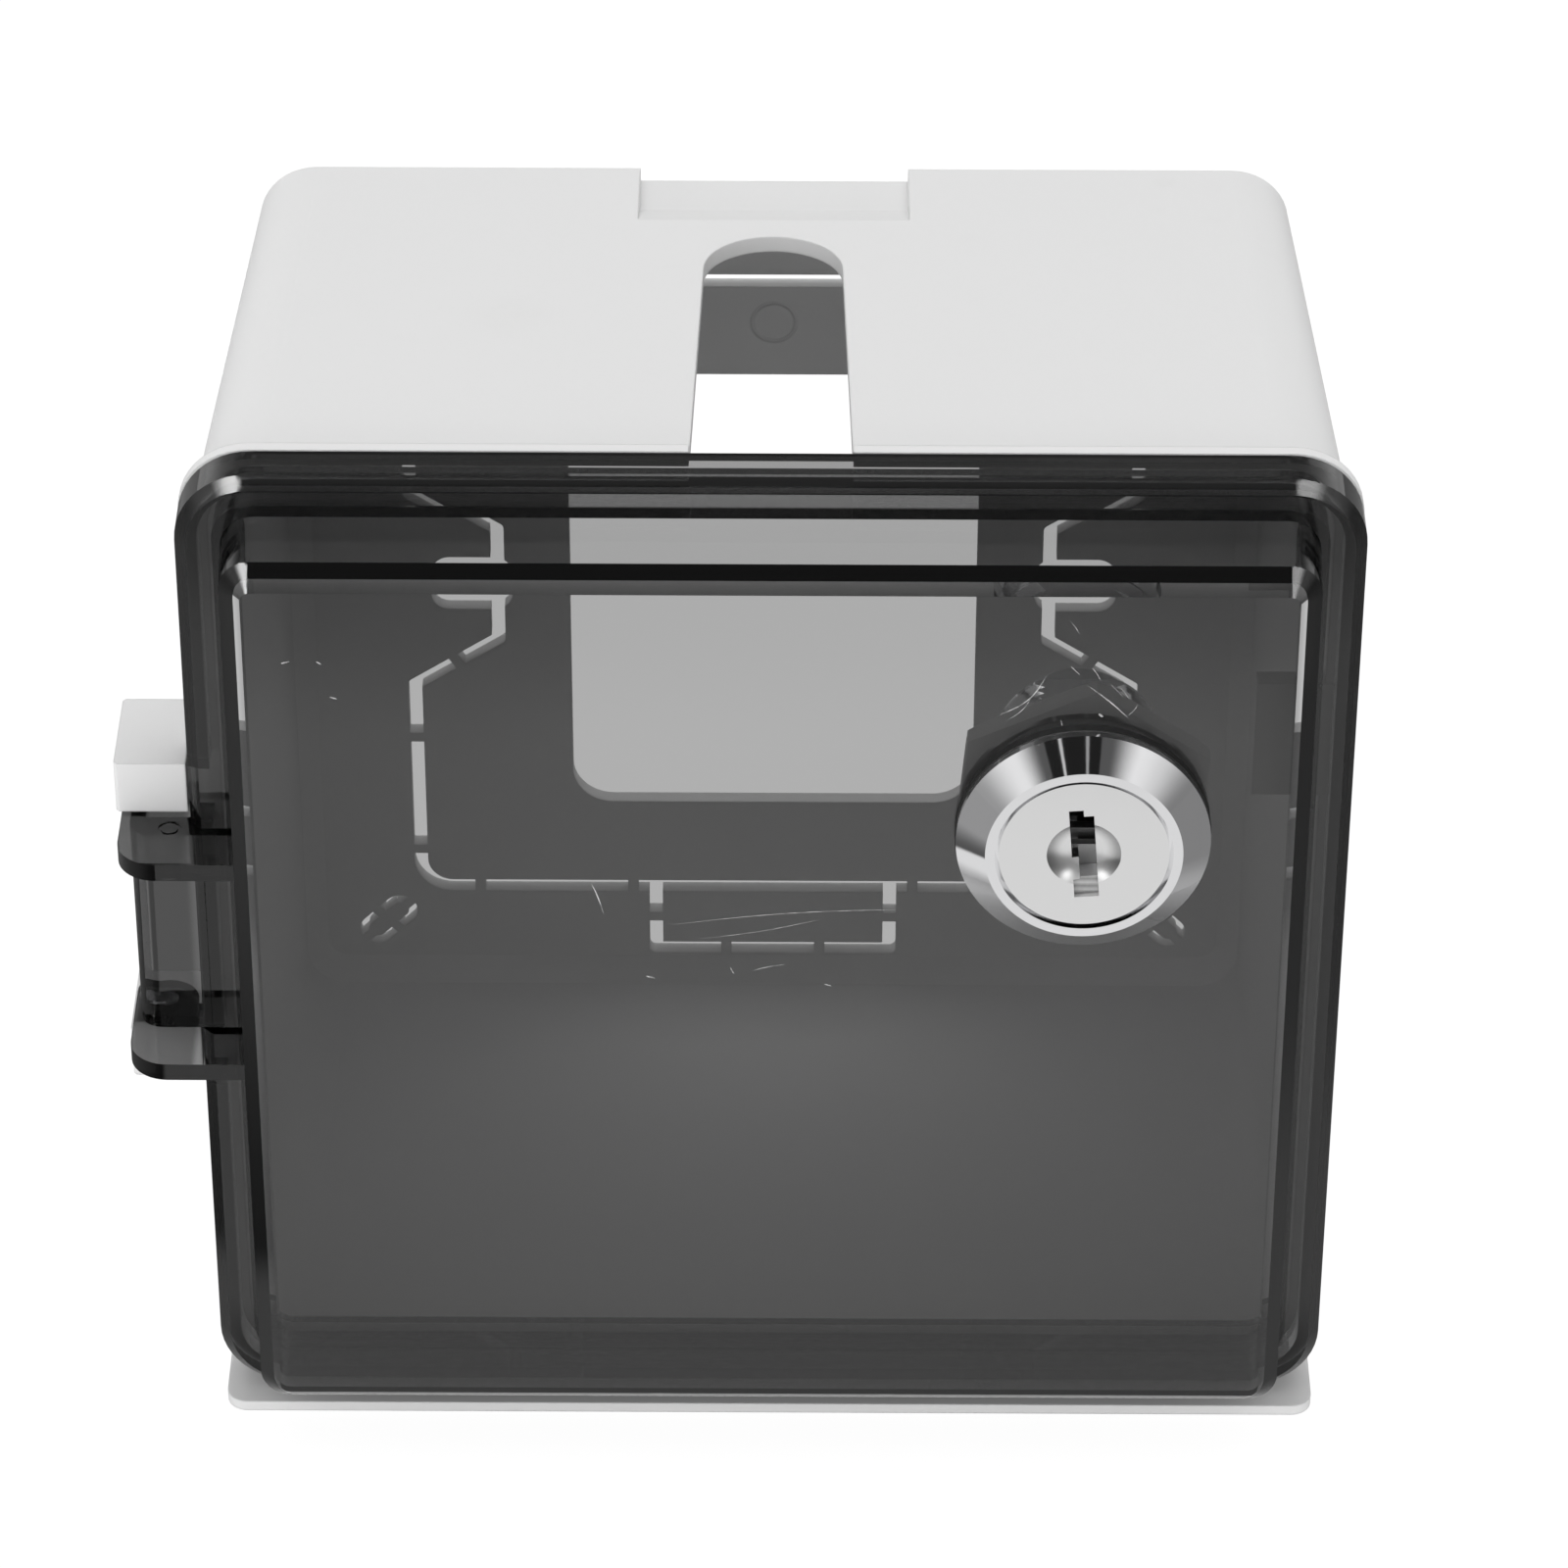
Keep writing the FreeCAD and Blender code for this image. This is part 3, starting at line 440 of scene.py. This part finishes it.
@dataclass(frozen=True)
class TurnedPlug(Metal):
    """Turned chrome whose key slot is duller and grey, with light and dark bands at its foot."""

    slot_half: float = 1.95 * MM
    slot_top: float = -3.3 * MM
    slot_foot: float = -6.2 * MM
    slot_floor: float = 0.55 * MM
    band_pitch: float = 0.95 * MM
    dish_radius: float = 4.1 * MM
    dish_shade: float = 0.45
    dish_dull: float = 0.09

    def paint(self, sheet: NodeSheet) -> None:
        """Bright face with painted shade at the dish rim, and a grey floor with light and dark bands below the wafers.
        """
        (x_low, y_low, z_low), (x_high, _, z_high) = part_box("lock_plug")
        across, middle = 0.5 * (x_low + x_high), 0.5 * (z_low + z_high)
        place = sheet.place()
        x, y, z = sheet.axes(place)
        up = z - middle
        inside = 1 - (x - across).size().step(self.slot_half, self.slot_half + 0.1 * MM)
        inside = inside * (1 - up.step(self.slot_top - 0.1 * MM, self.slot_top))
        inside = inside * up.step(self.slot_foot - 0.1 * MM, self.slot_foot)
        inside = inside * y.step(y_low + self.slot_floor - 0.1 * MM, y_low + self.slot_floor)
        # The slot's foot is painted grey with light and dark bands across it.
        foot_bands = sheet.add("ShaderNodeMath", {"operation": "PINGPONG"}, {0: up, 1: 0.5 * self.band_pitch}) / (0.5 * self.band_pitch)
        cloud = sheet.noise(place, 3.0, 4.0, 0.6)
        fine = sheet.noise(place, self.scratch_mm, 2.0)
        foot_grey = sheet.blend(foot_bands * 0.7 + sheet.noise(place, 0.5) * 0.3, 0.22, 0.62)
        away = ((x - across) ** 2 + up * up) ** 0.5
        sunk = (1 - away.step(self.dish_radius - 0.05 * MM, self.dish_radius)) * y.step(y_low + 0.01 * MM, y_low + 0.03 * MM)
        # Painted shade: the dish's rim is darkened, apart from its bottom, standing in for the dark surroundings it
        # reflects.
        rim_shade = sunk * away.step(0.55 * self.dish_radius, self.dish_radius)
        rim_shade = rim_shade * up.step(-0.75 * self.dish_radius, -0.35 * self.dish_radius)
        wear_and_shade_tone = tuple(value * self.dish_shade for value in self.albedo)
        bright = sheet.blend(rim_shade, self.albedo, wear_and_shade_tone)
        surface = sheet.add("ShaderNodeBsdfPrincipled", None, {
            "Base Color": sheet.blend(inside, bright, foot_grey),
            "Metallic": 1.0 - inside * 0.4,
            "Roughness": (self.polish + cloud * self.stain + fine * self.scratch + sunk * self.dish_dull)
            * (1 - inside) + inside * 0.45,
            "Normal": sheet.relief(fine, 0.002, self.scratch * 4),
        })
        sheet.finish(surface)


@dataclass(frozen=True)
class NutWithLitFlats(Metal):
    """A plated nut whose flats are painted paler and less shiny than its turned faces, a painted highlight for the
    light its upper flats catch.
    """

    flat_painted_light: float = 0.95
    flat_rough: float = 0.5
    face_depth: float = 0.25 * MM

    def paint(self, sheet: NodeSheet) -> None:
        """Turned grey faces and pale flats, whose paleness is painted light."""
        (_, y_low, _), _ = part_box("lock_nut")
        place = sheet.place()
        _, y, _ = sheet.axes(place)
        cloud = sheet.noise(place, 3.0, 4.0, 0.6)
        fine = sheet.noise(sheet.stretched(place, (1.0, 4.0, 1.0)), self.scratch_mm, 2.0)
        # Painted highlight: the flats are made pale and non-metallic so that they look lit.
        flat = y.step(y_low + self.face_depth, y_low + self.face_depth + 0.2 * MM)
        surface = sheet.add("ShaderNodeBsdfPrincipled", None, {
            "Base Color": sheet.blend(flat, self.albedo, self.flat_painted_light),
            "Metallic": 1.0 - flat,
            "Roughness": (self.polish + cloud * self.stain + fine * self.scratch) * (1 - flat) + flat * self.flat_rough,
            "Normal": sheet.relief(fine, 0.002, self.scratch * 4),
        })
        sheet.finish(surface)


@dataclass(frozen=True)
class SoftRubber(Finish):
    """Dull black rubber."""

    def paint(self, sheet: NodeSheet) -> None:
        """Near black with a dusty grain."""
        place = sheet.place()
        dust = sheet.noise(place, 0.8, 4.0, 0.7).step(0.5, 0.85)
        surface = sheet.add("ShaderNodeBsdfPrincipled", None, {
            "Base Color": sheet.blend(dust, 0.012, 0.035),
            "Roughness": 0.55 + dust * 0.2,
            "Normal": sheet.relief(sheet.noise(place, 0.15), 0.01, 0.4),
        })
        sheet.finish(surface)


@dataclass(frozen=True)
class PaleScuff(Finish):
    """The whitened bottom of a hairline scratch in clear plastic."""

    def paint(self, sheet: NodeSheet) -> None:
        """Pale, dull and half open, so it fades in and out along its length."""
        place = sheet.place()
        broken = sheet.noise(place, 1.2, 3.0, 0.7).step(0.35, 0.65)
        surface = sheet.add("ShaderNodeBsdfPrincipled", None, {
            "Base Color": sheet.blend(broken, 0.55, 0.75),
            "Roughness": 0.6,
            "Alpha": 0.3 + broken * 0.45,
        })
        sheet.finish(surface)


WHITE = MouldedWhite("white_moulded_plastic", smudges=((Vector((-0.030, 0.002, 0.1255)), 0.004), (Vector((0.046, 0.036, 0.1245)), 0.0012)))
SMOKE = SmokedClear("smoked_clear_plastic")
CHROME = Metal("bright_chrome", albedo=(0.82, 0.82, 0.83), polish=0.03, stain=0.02, scratch=0.02)
PLUG = TurnedPlug("turned_chrome", albedo=(0.80, 0.80, 0.80), polish=0.08, stain=0.03, scratch=0.05)
NUT = NutWithLitFlats("plated_nut", albedo=(0.80, 0.80, 0.81), polish=0.45, stain=0.1, scratch=0.1)
ZINC = Metal("zinc_plated_steel", albedo=(0.66, 0.67, 0.68), polish=0.25, stain=0.12, scratch=0.08)
PIN = Metal("ground_steel_pin", albedo=(0.58, 0.58, 0.6), polish=0.2, stain=0.05, scratch=0.1, lay=(1.0, 1.0, 0.2))
WAFER = Metal("nickel_plated_wafer", albedo=(0.36, 0.36, 0.36), polish=0.3, stain=0.12, scratch=0.1)
WIRE = Metal("drawn_spring_wire", albedo=(0.55, 0.55, 0.57), polish=0.2, stain=0.05, scratch=0.05)
RUBBER = SoftRubber("black_rubber")
SCUFF = PaleScuff("scratch_whitening")


def dress(frame: Dict[str, Any], finish: Finish, nodes: Iterable[str]) -> None:
    """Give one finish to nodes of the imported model.

    Args:
        finish: The finish.
        nodes: The names of the nodes.
    """
    for node in nodes:
        for holder in frame["nodes"][node].material_slots:
            holder.material = finish.material()
        LOG.info("%s has %s", node, finish.name)


def new_piece(name: str, points: Sequence[Sequence[float]], faces: Sequence[Sequence[int]], finish: Finish,
              smooth: bool = False) -> bpy.types.Object:
    """Make one mesh object.

    Args:
        name: The piece's name.
        points: Its corners in metres.
        faces: Its faces as lists of corner numbers.
        finish: Its finish.
        smooth: True for smooth shading.

    Returns:
        The new object.
    """
    mesh = bpy.data.meshes.new(name)
    mesh.from_pydata([tuple(p) for p in points], [], [tuple(f) for f in faces])
    mesh.materials.append(finish.material())
    mesh.polygons.foreach_set("use_smooth", [smooth] * len(mesh.polygons))
    mesh.update()
    piece = bpy.data.objects.new(name, mesh)
    bpy.context.scene.collection.objects.link(piece)
    LOG.info("%s has %d faces", name, len(mesh.polygons))
    return piece


@dataclass
class BaseBox:
    """The white base with its two hinge pins."""

    frame: Dict[str, Any]

    def build(self) -> None:
        """Dress the base and its pins."""
        dress(self.frame, WHITE, ["base_shell"])
        dress(self.frame, PIN, ["hinge_pin_upper", "hinge_pin_lower"])


@dataclass
class Scratch:
    """One hairline scratch on the lid's face, in millimetres from the frame's origin."""

    start: Tuple[float, float]
    end: Tuple[float, float]
    bow: float = 0.0
    width: float = 0.1

    def ribbon(self, level: float, parts: int = 10) -> Tuple[List[Point], List[Tuple[int, ...]]]:
        """A thin tapered ribbon along the scratch.

        Args:
            level: The Y of the ribbon in metres.
            parts: How many lengths it has.

        Returns:
            Corners and faces.
        """
        (xa, za), (xb, zb) = self.start, self.end
        length = math.hypot(xb - xa, zb - za)
        side = ((za - zb) / length, (xb - xa) / length)
        points: List[Point] = []
        for step in range(parts + 1):
            share = step / parts
            lift = self.bow * math.sin(math.pi * share)
            half = 0.5 * self.width * max(math.sin(math.pi * share) ** 0.6, 0.08)
            for sign in (-1.0, 1.0):
                x = xa + (xb - xa) * share + side[0] * (lift + sign * half)
                z = za + (zb - za) * share + side[1] * (lift + sign * half)
                points.append((x * MM, level, z * MM))
        faces = [(2 * i, 2 * i + 1, 2 * i + 3, 2 * i + 2) for i in range(parts)]
        return points, faces


@dataclass
class SmokedLid:
    """The see-through lid and the hairline scratches on its face."""

    frame: Dict[str, Any]
    lift: float = 0.02 * MM
    scratches: Tuple[Scratch, ...] = (
        Scratch((34.4, 110.2), (38.9, 106.0), 0.15, 0.14),
        Scratch((32.5, 112.7), (33.5, 111.6), 0.0, 0.12),
        Scratch((34.8, 112.5), (35.8, 110.8), 0.1, 0.10),
        Scratch((36.9, 110.4), (38.3, 108.7), 0.0, 0.09),
        Scratch((37.6, 110.3), (38.9, 108.5), 0.1, 0.08),
        Scratch((39.9, 107.7), (38.9, 106.3), 0.1, 0.09),
        Scratch((32.2, 118.6), (33.3, 116.9), 0.1, 0.08),
        Scratch((24.8, 106.3), (29.9, 111.5), -0.9, 0.13),
        Scratch((25.9, 105.7), (28.4, 108.9), -0.4, 0.09),
        Scratch((-19.8, 83.8), (-18.4, 79.4), 0.1, 0.12),
        Scratch((-10.8, 78.0), (14.6, 80.2), 0.5, 0.08),
        Scratch((-7.7, 76.1), (5.6, 78.8), -0.3, 0.07),
        Scratch((-1.9, 71.7), (1.7, 72.6), 0.1, 0.09),
        Scratch((-52.9, 112.6), (-51.9, 112.9), 0.0, 0.2),
        Scratch((-49.1, 112.9), (-48.5, 112.5), 0.0, 0.18),
        Scratch((-47.8, 108.3), (-47.0, 108.0), 0.0, 0.16),
        Scratch((-4.4, 72.2), (-4.0, 71.3), 0.0, 0.18),
        Scratch((-13.8, 70.9), (-12.8, 70.6), 0.0, 0.2),
        Scratch((6.1, 69.9), (7.0, 69.6), 0.0, 0.14),
        Scratch((35.7, 106.5), (36.2, 106.1), 0.0, 0.3),
        Scratch((31.6, 105.8), (31.8, 104.9), 0.0, 0.14),
    )

    def build(self) -> bpy.types.Object:
        """Dress the lid and lay the scratches on it.

        Returns:
            The scratches' object.
        """
        dress(self.frame, SMOKE, ["lid_cover"])
        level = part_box("lid_cover")[0][1] - self.lift
        points: List[Point] = []
        faces: List[Tuple[int, ...]] = []
        for scratch in self.scratches:
            more, flats = scratch.ribbon(level)
            faces += [tuple(corner + len(points) for corner in flat) for flat in flats]
            points += more
        piece = new_piece("lid_scratches", points, faces, SCUFF)
        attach(piece, "lid")
        return piece


@dataclass
class CamLock:
    """The cam lock with its nut, wafers and cam."""

    frame: Dict[str, Any]
    wafers: int = 8

    def build(self) -> None:
        """Dress every piece of the lock."""
        dress(self.frame, CHROME, ["lock_housing"])
        dress(self.frame, PLUG, ["lock_plug"])
        dress(self.frame, NUT, ["lock_nut"])
        dress(self.frame, RUBBER, ["lock_rubber_ring"])
        dress(self.frame, WAFER, ["wafer_%d" % (i + 1) for i in range(self.wafers)])
        dress(self.frame, WIRE, ["wafer_springs"])
        dress(self.frame, ZINC, ["stop_washer", "lock_cam", "cam_spring_washer", "cam_screw"])


@dataclass(frozen=True)
class PaperFloor(Finish):
    """White studio paper: it takes a soft shadow and shows as white."""

    albedo: float = 0.94
    white_strength: float = 1.06
    paper_share: float = 0.1
    mirrored_near: float = 0.82
    mirrored_left: Tuple[float, float] = (0.09, 0.34)
    mirrored_right: float = 0.25
    mirrored_front: float = 0.45
    mirrored_foot_shadow: float = 0.42
    through_left_shade: float = 0.38
    left_edge: float = -0.092
    right_edge: float = 0.125
    front_edge: float = -0.215
    foot_shadow_edge: float = -0.053

    def paint(self, sheet: NodeSheet) -> None:
        """Plain paper; rays that see it directly find it white, apart from painted shade at the box's left for rays
        seen through the lid, and mirrored rays find its dark surroundings and a painted shadow at the box's foot.
        """
        paper = sheet.add("ShaderNodeBsdfDiffuse", None, {"Color": self.albedo})
        x, y, _ = sheet.axes(sheet.place())
        through = sheet.clear_view()
        # Painted shade: the floor seen through the lid at the box's left is darkened, standing in for shade behind the
        # hinge.
        left_shade_mask = through * (1 - x.step(-0.068, -0.060))
        white = sheet.add("ShaderNodeEmission", None,
                          {"Color": sheet.blend(left_shade_mask, 1.0, self.through_left_shade), "Strength": self.white_strength})
        close, far = self.mirrored_left
        near = sheet.blend(y.step(self.front_edge - 0.02, self.front_edge + 0.02), self.mirrored_front, self.mirrored_near)
        # Painted shadow: mirrored rays find the floor darker near the box's foot.
        near = sheet.blend(y.step(self.foot_shadow_edge - 0.006, self.foot_shadow_edge + 0.006), near, self.mirrored_foot_shadow)
        right = sheet.blend(x.step(self.right_edge - 0.02, self.right_edge + 0.03), near, self.mirrored_right)
        left = sheet.blend(x.step(self.left_edge - 0.1, self.left_edge), far, close)
        tone = sheet.blend(x.step(self.left_edge - 0.006, self.left_edge + 0.004), left, right)
        pale = sheet.add("ShaderNodeEmission", None, {"Color": tone, "Strength": 1.0})
        direct = (sheet.ray(Ray.CAMERA) * (1 - self.paper_share)).either(through)
        shown = sheet.add("ShaderNodeMixShader", None, {0: direct, 1: paper, 2: white})
        surface = sheet.add("ShaderNodeMixShader", None, {0: sheet.ray(Ray.GLOSSY) - through, 1: shown, 2: pale})
        sheet.finish(surface)


@dataclass
class Lamp:
    """A soft rectangular lamp that looks at a point."""

    name: str
    place: Point
    aim: Point
    size: Tuple[float, float]
    watts: float

    def build(self) -> bpy.types.Object:
        """Make the lamp.

        Returns:
            The lamp's object.
        """
        light = bpy.data.lights.new(self.name, "AREA")
        light.shape = "RECTANGLE"
        light.size, light.size_y = self.size
        light.energy = self.watts
        lamp = bpy.data.objects.new(self.name, light)
        lamp.location = self.place
        lamp.rotation_euler = (Vector(self.aim) - Vector(self.place)).to_track_quat("-Z", "Y").to_euler()
        lamp.visible_glossy = False
        lamp.visible_transmission = False
        bpy.context.scene.collection.objects.link(lamp)
        return lamp


@dataclass
class Studio:
    """Floor, sky and lamps."""

    floor_half: float = 3.0
    sky_light: float = 0.50
    card_left: float = -0.39
    card_right: float = 0.20
    gleams: Tuple[Tuple[float, float], ...] = ((-0.232, 0.6), (0.051, 0.35))
    glows: Tuple[Point, ...] = ((-0.45, -0.89, 0.065), (0.45, -0.89, 0.065))
    box_left: float = 14.0
    box_right: float = 6.0
    lamps: Tuple[Lamp, ...] = (
        Lamp("top_softbox", (0.0, 0.1, 1.3), (0.0, 0.0, 0.06), (1.2, 1.2), 6.5),
        Lamp("front_fill", (-0.15, -1.35, 0.3), (0.0, 0.0, 0.03), (1.2, 0.5), 5.6),
        Lamp("left_fill", (-1.1, -0.7, 0.35), (0.0, 0.0, 0.02), (0.6, 0.6), 2.4),
        Lamp("right_fill", (1.1, -0.7, 0.35), (0.0, 0.0, 0.02), (0.6, 0.6), 1.4),
    )

    def floor(self) -> bpy.types.Object:
        """Make the paper floor.

        Returns:
            The floor's object.
        """
        half = self.floor_half
        corners = [(-half, -half, -0.0002), (half, -half, -0.0002), (half, half, -0.0002), (-half, half, -0.0002)]
        piece = new_piece("paper_floor", corners, [(0, 1, 2, 3)], PaperFloor("studio_paper"))
        return piece

    def sky(self) -> None:
        """Even light for the object, white for the camera, and dark cards above for what shines."""
        world = bpy.data.worlds.new("studio_sky")
        bpy.context.scene.world = world
        sheet = NodeSheet(world)
        way = sheet.add("ShaderNodeTexCoord", output="Generated")
        x, y, z = sheet.axes(way)
        front = (0 - y).step(0.0, 0.2)
        low = 0.36 - 0.12 * x.step(-0.3, 0.3) + 0.55 * z.step(0.0, 0.42)
        for glow in self.glows:
            low = low + 1.5 * sheet.spot(way, glow, 0.12, 0.1)
        card = x.step(self.card_left - 0.01, self.card_left + 0.01)
        card = card * (1 - x.step(self.card_right - 0.01, self.card_right + 0.01))
        dark = 0.015 + 0.13 * z.step(0.74, 0.80)
        for place, strength in self.gleams:
            dark = dark + (1 - (x - place).size().step(0.008, 0.024)) * (1 - z.step(0.75, 0.79)) * strength
        high = 0.10 + 0.8 * (1 - x.step(-0.68, -0.44)) + 0.8 * x.step(0.30, 0.62)
        high = high * (1 - card) + dark * card
        box = y.step(-0.61, -0.56) * z.step(0.5, 0.6)
        high = high + box * (1 - x.step(-0.31, -0.24)) * x.step(-0.74, -0.42) * self.box_left
        high = high + box * x.step(0.19, 0.25) * (1 - x.step(0.40, 0.70)) * self.box_right
        share = z.step(0.36, 0.5) * (1 - z.step(0.94, 0.98))
        mirrored = low * (1 - share) + high * share
        behind = 0.14 + 0.7 * (1 - z.step(0.12, 0.5))
        mirrored = mirrored * front + behind * (1 - front)
        seen = sheet.ray(Ray.CAMERA).either(sheet.clear_view())
        shine = sheet.ray(Ray.GLOSSY)
        grey = seen * 1.0 + (1 - seen) * (shine * mirrored + (1 - shine) * (self.sky_light + 0.1 * z))
        back = sheet.add("ShaderNodeBackground", None, {"Color": grey, "Strength": 1.0})
        sheet.add("ShaderNodeOutputWorld", None, {"Surface": back})

    def build(self) -> None:
        """Make the floor, the sky and the lamps."""
        self.floor()
        self.sky()
        for lamp in self.lamps:
            lamp.build()
        bpy.context.scene.view_settings.view_transform = "Standard"
        LOG.info("studio has %d lamps", len(self.lamps))


@dataclass
class PhotoCamera:
    """The camera, at the photograph's viewing angle."""

    place_mm: Point = (2.79, -640.05, 506.42)
    pitch: float = 34.7
    yaw: float = -0.12
    roll: float = -0.18
    focal_px: float = 6705.47
    frame_px: float = 1600.0
    sensor_mm: float = 36.0

    def build(self) -> bpy.types.Object:
        """Make the camera and set it as the scene's.

        Returns:
            The camera's object.
        """
        down, side, tilt = (math.radians(v) for v in (self.pitch, self.yaw, self.roll))
        ahead = Vector((math.sin(side) * math.cos(down), math.cos(side) * math.cos(down), -math.sin(down)))
        level = Vector((math.cos(side), -math.sin(side), 0.0))
        below = ahead.cross(level)
        right = level * math.cos(tilt) + below * math.sin(tilt)
        foot = below * math.cos(tilt) - level * math.sin(tilt)
        data = bpy.data.cameras.new("photo_camera")
        data.sensor_width = self.sensor_mm
        data.lens = self.focal_px / self.frame_px * self.sensor_mm
        data.clip_start, data.clip_end = 0.01, 20.0
        camera = bpy.data.objects.new("photo_camera", data)
        turn = Matrix((right, -foot, -ahead)).transposed().to_4x4()
        camera.matrix_world = Matrix.Translation(Vector(self.place_mm) * MM) @ turn
        bpy.context.scene.collection.objects.link(camera)
        bpy.context.scene.camera = camera
        return camera


def main() -> None:
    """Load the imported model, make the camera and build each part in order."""
    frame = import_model()
    PhotoCamera().build()
    for part in (BaseBox(frame), SmokedLid(frame), CamLock(frame), Studio()):
        part.build()
        LOG.info("%s done", type(part).__name__)


if __name__ == "__main__":
    logging.basicConfig(level=logging.INFO, format="%(message)s")
    main()
